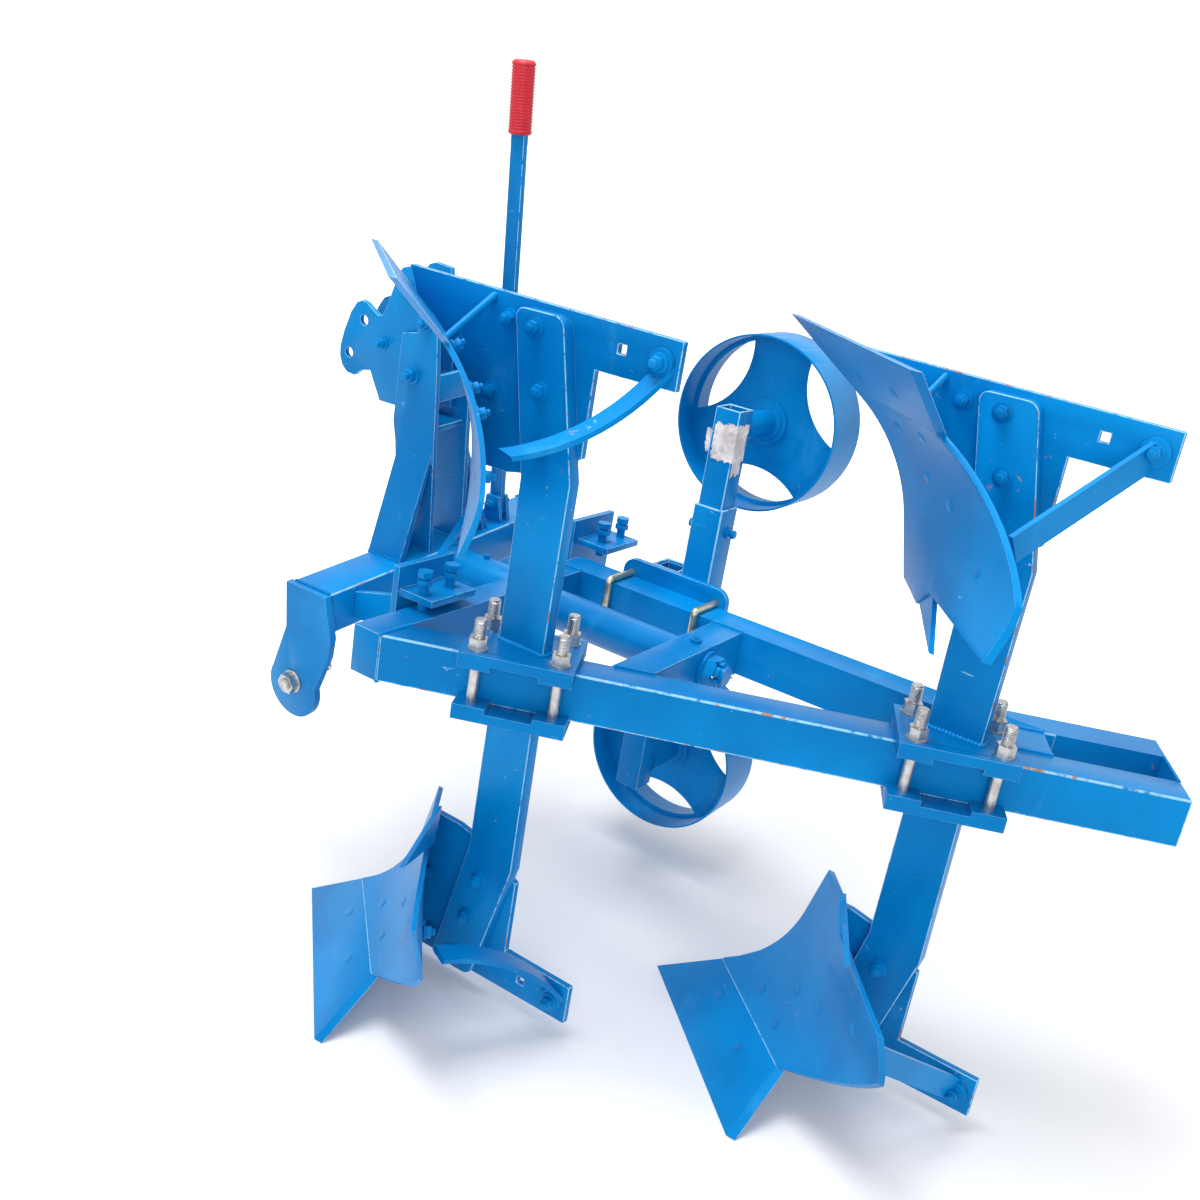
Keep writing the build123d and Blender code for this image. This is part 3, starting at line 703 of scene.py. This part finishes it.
def makeSetScrews():
    bm = bmesh.new()
    for origin, way in setScrews:
        place = facing(origin, way, 0.5)
        addRound(bm, place, *setScrewLook["boss"], 24, 0.6)
        addRound(bm, place, *setScrewLook["shank"], 16, 0.4)
        addNut(bm, place, setScrewLook["across"], setScrewLook["nut"], setScrewLook["nutFrom"])
    finished("setScrews", bm, "plough_frame", "boltBlue")


makeSetScrews()

paperLook = {"corner": (201.0, -224.0), "top": 374.0, "reach": 48.0, "low": 304.0, "tongue": 272.0,
             "lift": 0.9}


def makePaper():
    # wrapped round one corner of the stem, torn below
    bm = bmesh.new()
    bmesh.ops.create_grid(bm, x_segments=44, y_segments=52, size=1)
    look = paperLook
    for v in bm.verts:
        down = (1 - v.co.y) * 0.5
        v.co = Vector((v.co.x * look["reach"], 0, look["top"] - down * (look["top"] - look["tongue"])))
    torn = []
    for face in bm.faces:
        c = face.calc_center_median()
        ragged = noise.fractal(Vector((c.x * 0.09, 2.0, c.z * 0.05)), 1.0, 2.0, 4) * 8
        floor = look["low"] if c.x < 4 else look["tongue"] + 6
        side = look["reach"] - 5 - (7 if c.z < look["low"] else 0)
        if c.z < floor + ragged or abs(c.x + ragged * 0.4) > side or c.z > look["top"] - 3 + ragged * 0.5:
            torn.append(face)
    bmesh.ops.delete(bm, geom=torn, context="FACES")
    for v in bm.verts:
        along, z = v.co.x, v.co.z
        crumple = look["lift"] + 1.6 * abs(noise.noise(Vector((along * 0.07, 5.0, z * 0.06))))
        if along < 0:
            v.co = Vector((look["corner"][0] - crumple, look["corner"][1] - along, z))
        else:
            v.co = Vector((look["corner"][0] + along, look["corner"][1] - crumple, z))
    bmesh.ops.solidify(bm, geom=bm.faces[:], thickness=0.35)
    finished("stemPaper", bm, "plough_frame", "tornPaper")


stripLook = {"corner": (203.0, -173.0), "top": 354.0, "tall": 42.0, "wide": 13.0, "curl": 7.0}


def makePaperStrip():
    # a narrow strip that curls away from the stem's other corner
    look = stripLook
    bm = bmesh.new()
    bmesh.ops.create_grid(bm, x_segments=10, y_segments=24, size=1)
    for v in bm.verts:
        across, down = (v.co.x + 1) / 2, (1 - v.co.y) / 2
        width = look["wide"] * (1 - 0.55 * down * down) + noise.noise(Vector((down * 7, 1.0, 3.0))) * 2
        v.co = Vector((look["corner"][0] + look["curl"] * math.sin(across * 1.9 + down * 1.4),
                       look["corner"][1] + across * width, look["top"] - down * look["tall"]))
    bmesh.ops.solidify(bm, geom=bm.faces[:], thickness=0.35)
    finished("paperStrip", bm, "plough_frame", "tornPaper")


makePaper()
makePaperStrip()


plugLook = {"strut": (0, -326, 39.5), "nipple": (0, -326, 46.0), "housing": (0, 140, 41.0)}


def makePlugs():
    bm = bmesh.new()
    addRound(bm, facing(plugLook["strut"], (0, 0, 1)), 10.5, 7.0, 28, 1.2)
    addRound(bm, facing(plugLook["nipple"], (0, 0, 1)), 5.0, 3.0, 18, 0.6)
    finished("strutPlug", bm, "plough_frame", "boltBlue")
    bm = bmesh.new()
    addRound(bm, facing(plugLook["housing"], (0, 0, 1)), 6.0, 9.0, 20, 0.8)
    finished("housingPlug", bm, "headstock", "boltBlue")


makePlugs()


hubLook = {"face": 363.0, "radius": 37.0, "depth": 10.0, "taper": 0.94, "soft": 1.6,
           "centres": (("Upper", -199, 360, "gauge_wheel_upper"),
                       ("Lower", -132, -360, "gauge_wheel_lower"))}


def makeHubRings():
    # the raised ring round each hub, on the side that faces the plough
    look = hubLook
    for name, y, z, body in look["centres"]:
        bm = bmesh.new()
        place = facing((look["face"], y, z), (-1, 0, 0))
        made = bmesh.ops.create_cone(bm, cap_ends=True, segments=44, radius1=look["radius"],
                                     radius2=look["radius"] * look["taper"], depth=look["depth"],
                                     matrix=place @ Matrix.Translation((0, 0, look["depth"] / 2)))
        bmesh.ops.bevel(bm, geom=rimEdges(made["verts"]), offset=look["soft"], affect="EDGES", segments=2,
                        profile=0.5, material=-1)
        finished("hubRing" + name, bm, body, "wheelBlue")


makeHubRings()
print("wheel stand finished")


# headstock: pins, bolts, lever
pinLook = {"lynchX": 262.0, "y": 308.0, "z": -158.0, "ring": 17.0}


def makeLynchPins():
    bm = bmesh.new()
    for side in (-1, 1):
        x = side * pinLook["lynchX"]
        top = onHitch(x, pinLook["y"], pinLook["z"] + 22)
        low = onHitch(x, pinLook["y"], pinLook["z"] - 24)
        addWire(bm, [top, low], 4.0, 12)
        ring = facing(onHitch(x, pinLook["y"] - 14, pinLook["z"] + 20), hitchWay(1, 0, 0.25))
        addRing(bm, ring, pinLook["ring"], 1.9)
    finished("lynchPins", bm, "headstock", "yellowZinc")


mastBolts = [(-50, 293, 370, -1, 22), (-50, 262, 470, -1, 19), (50, 293, 370, 1, 22), (50, 262, 470, 1, 19)]
bracketBolts = [(-40, 376, 408, -1, 16), (-40, 315, 522, -1, 16), (40, 376, 408, 1, 16),
                (40, 315, 522, 1, 16)]


def makeHitchBolts():
    bm = bmesh.new()
    for x, y, z, side, across in mastBolts + bracketBolts:
        addNutAndTail(bm, onHitch(x, y, z), hitchWay(side, 0, 0), across, across * 0.78, 8.0)
    for side in (-1, 1):
        # split pin through the end of the upper mast bolt
        tip = onHitch(side * 66, 293, 370)
        addWire(bm, [tip + Vector((0, -14, 10)), tip, tip + Vector((0, 12, -14))], 1.6, 8)
    finished("hitchBolts", bm, "headstock", "boltBlue")


def makeHitchPinThreads():
    bm = bmesh.new()
    for side in (-1, 1):
        start = onHitch(side * 344, pinLook["y"], pinLook["z"])
        addThread(bm, facing(start, hitchWay(side, 0, 0)), 10.0, 1.9, 3)
        washer = onHitch(side * 326, pinLook["y"], pinLook["z"])
        addRound(bm, facing(washer, hitchWay(side, 0, 0)), 22.0, 3.0, 32, 0.6)
    finished("pinThreads", bm, "headstock", "zincPlate")


makeLynchPins()
makeHitchBolts()
makeHitchPinThreads()

gripLook = {"x": 178.0, "y": 262.0, "low": 780.0, "high": 904.0, "radius": 21.0, "rib": 5.2, "deep": 1.5}


def makeGrip():
    # ribbed sleeve turned from half a profile, with shallow flutes
    look = gripLook
    bm = bmesh.new()
    outline = [(0.0, look["low"]), (look["radius"] - 3, look["low"]), (look["radius"], look["low"] + 3)]
    ribs = int((look["high"] - look["low"] - 14) / look["rib"])
    for rib in range(ribs):
        z = look["low"] + 7 + rib * look["rib"]
        inner = look["radius"] - look["deep"]
        outline += [(look["radius"], z), (inner, z + look["rib"] * 0.35), (inner, z + look["rib"] * 0.55),
                    (look["radius"], z + look["rib"] * 0.9)]
    outline += [(look["radius"], look["high"] - 5), (look["radius"] - 4, look["high"] - 1),
                (0.0, look["high"])]
    verts = [bm.verts.new((r, 0, z)) for r, z in outline]
    edges = [bm.edges.new(pair) for pair in zip(verts, verts[1:])]
    bmesh.ops.spin(bm, geom=verts + edges, cent=(0, 0, 0), axis=(0, 0, 1), angle=math.tau, steps=48,
                   use_merge=True)
    bmesh.ops.remove_doubles(bm, verts=bm.verts, dist=1e-4)
    for v in bm.verts:
        reach = math.hypot(v.co.x, v.co.y)
        if reach > look["radius"] - 2.5:
            turn = math.atan2(v.co.y, v.co.x)
            scale = 1 - 0.035 * (math.cos(turn * 12) > 0.2)
            v.co.x *= scale
            v.co.y *= scale
    upright = Matrix.Translation((look["x"], look["y"], 0))
    bmesh.ops.transform(bm, matrix=rollUp @ upright, verts=bm.verts)
    finished("gripSleeve", bm, "lever", "redGrip", "lever_grip", sharp=50)


makeGrip()


leverBoltLook = {"z": 74.0, "reach": 15.2, "across": 19.0, "washer": 14.0, "tail": 5.0}


def makeLeverBolt():
    bm = bmesh.new()
    look = leverBoltLook
    for side in (-1, 1):
        end = onHitch(gripLook["x"] + side * look["reach"], gripLook["y"], look["z"])
        addNutAndTail(bm, end, hitchWay(side, 0, 0), look["across"], look["washer"], look["tail"])
    finished("leverBolt", bm, "headstock", "boltBlue")


makeLeverBolt()


shaftPinLook = {"bends": [(-30, -384, 3), (0, -384, 0), (27, -384, -1), (30, -392, -12)], "radius": 2.0}


def makeShaftSplitPin():
    bm = bmesh.new()
    addWire(bm, shaftPinLook["bends"], shaftPinLook["radius"])
    finished("shaftSplitPin", bm, "headstock", "zincPlate")


makeShaftSplitPin()
print("headstock finished")


# floor, light and camera
stageLook = {"floor": 60.0, "near": 0.9, "far": 2.6}


def makeFloor():
    mesh = bpy.data.meshes.new("floor")
    bm = bmesh.new()
    bmesh.ops.create_grid(bm, x_segments=1, y_segments=1, size=stageLook["floor"])
    bm.to_mesh(mesh)
    bm.free()
    floor = bpy.data.objects.new("floor", mesh)
    bpy.context.scene.collection.objects.link(floor)
    f = Finish("floorPale")
    f.shader.inputs["Base Color"].default_value = (0.86, 0.86, 0.87, 1)
    f.shader.inputs["Roughness"].default_value = 0.9
    f.shader.inputs["Specular IOR Level"].default_value = 0.0
    # away from the object the floor is as white as the backdrop, but only to the camera
    away = f.add("ShaderNodeVectorMath", {"operation": "LENGTH"}, {0: f.place()}, out=1)
    seen = f.add("ShaderNodeLightPath", out=0)
    glow = f.band(away, stageLook["near"], stageLook["far"]) * seen
    f.feed("Emission Color", f.mix(glow, (0, 0, 0), (1, 1, 1)))
    f.shader.inputs["Emission Strength"].default_value = 1.0
    mesh.materials.append(f.material)
    return floor


makeFloor()


def makeWorld():
    world = bpy.data.worlds.new("studioWorld")
    bpy.context.scene.world = world
    world.use_nodes = True
    tree = world.node_tree
    background = tree.nodes["Background"]
    path = tree.nodes.new("ShaderNodeLightPath")
    seen = tree.nodes.new("ShaderNodeMath")
    seen.operation = "MAXIMUM"
    tree.links.new(path.outputs["Is Camera Ray"], seen.inputs[0])
    tree.links.new(path.outputs["Is Glossy Ray"], seen.inputs[1])
    mix = tree.nodes.new("ShaderNodeMix")
    mix.data_type = "FLOAT"
    tree.links.new(seen.outputs[0], mix.inputs[0])
    mix.inputs[2].default_value = 0.75
    mix.inputs[3].default_value = 1.0
    background.inputs["Color"].default_value = (1, 1, 1, 1)
    tree.links.new(mix.outputs[0], background.inputs["Strength"])


makeWorld()

lampLook = [
    {"name": "skyLamp", "at": (-0.6, 0.8, 4.4), "size": 2.6, "power": 165},
    {"name": "sideLamp", "at": (-4.0, -2.5, 2.2), "size": 2.5, "power": 70},
]
target = Vector([(a + b) / 2 for a, b in zip(*cadBox)])
for lamp in lampLook:
    light = bpy.data.lights.new(lamp["name"], "AREA")
    light.shape = "DISK"
    light.size = lamp["size"]
    light.energy = lamp["power"]
    lampObject = bpy.data.objects.new(lamp["name"], light)
    lampObject.location = lamp["at"]
    lampObject.rotation_euler = (target - Vector(lamp["at"])).to_track_quat("-Z", "Y").to_euler()
    bpy.context.scene.collection.objects.link(lampObject)

cameraLook = {"focal": 1271.1623 / 1200 * 36, "azimuth": -58.3175, "elevation": 20.0071, "roll": 9.4822,
              "from": (-1812.06, -1241.38, 822.69)}


def makeCamera():
    camera = bpy.data.cameras.new("camera")
    camera.lens = cameraLook["focal"]
    camera.sensor_width = 36
    camera.clip_end = 100
    cameraObject = bpy.data.objects.new("camera", camera)
    bpy.context.scene.collection.objects.link(cameraObject)
    a, e, r = (math.radians(cameraLook[k]) for k in ("azimuth", "elevation", "roll"))
    back = Vector((math.sin(a) * math.cos(e), -math.cos(a) * math.cos(e), math.sin(e)))
    right = (-back).cross(Vector((0, 0, 1))).normalized()
    up = right.cross(-back)
    camRight = right * math.cos(r) + up * math.sin(r)
    camUp = -right * math.sin(r) + up * math.cos(r)
    turn = Matrix((camRight, camUp, back)).transposed().to_4x4()
    cameraObject.matrix_world = Matrix.Translation(fromShaft(*cameraLook["from"])) @ turn
    bpy.context.scene.camera = cameraObject


makeCamera()
scene = bpy.context.scene
scene.view_settings.view_transform = "Standard"
print("stage, lights and camera made")
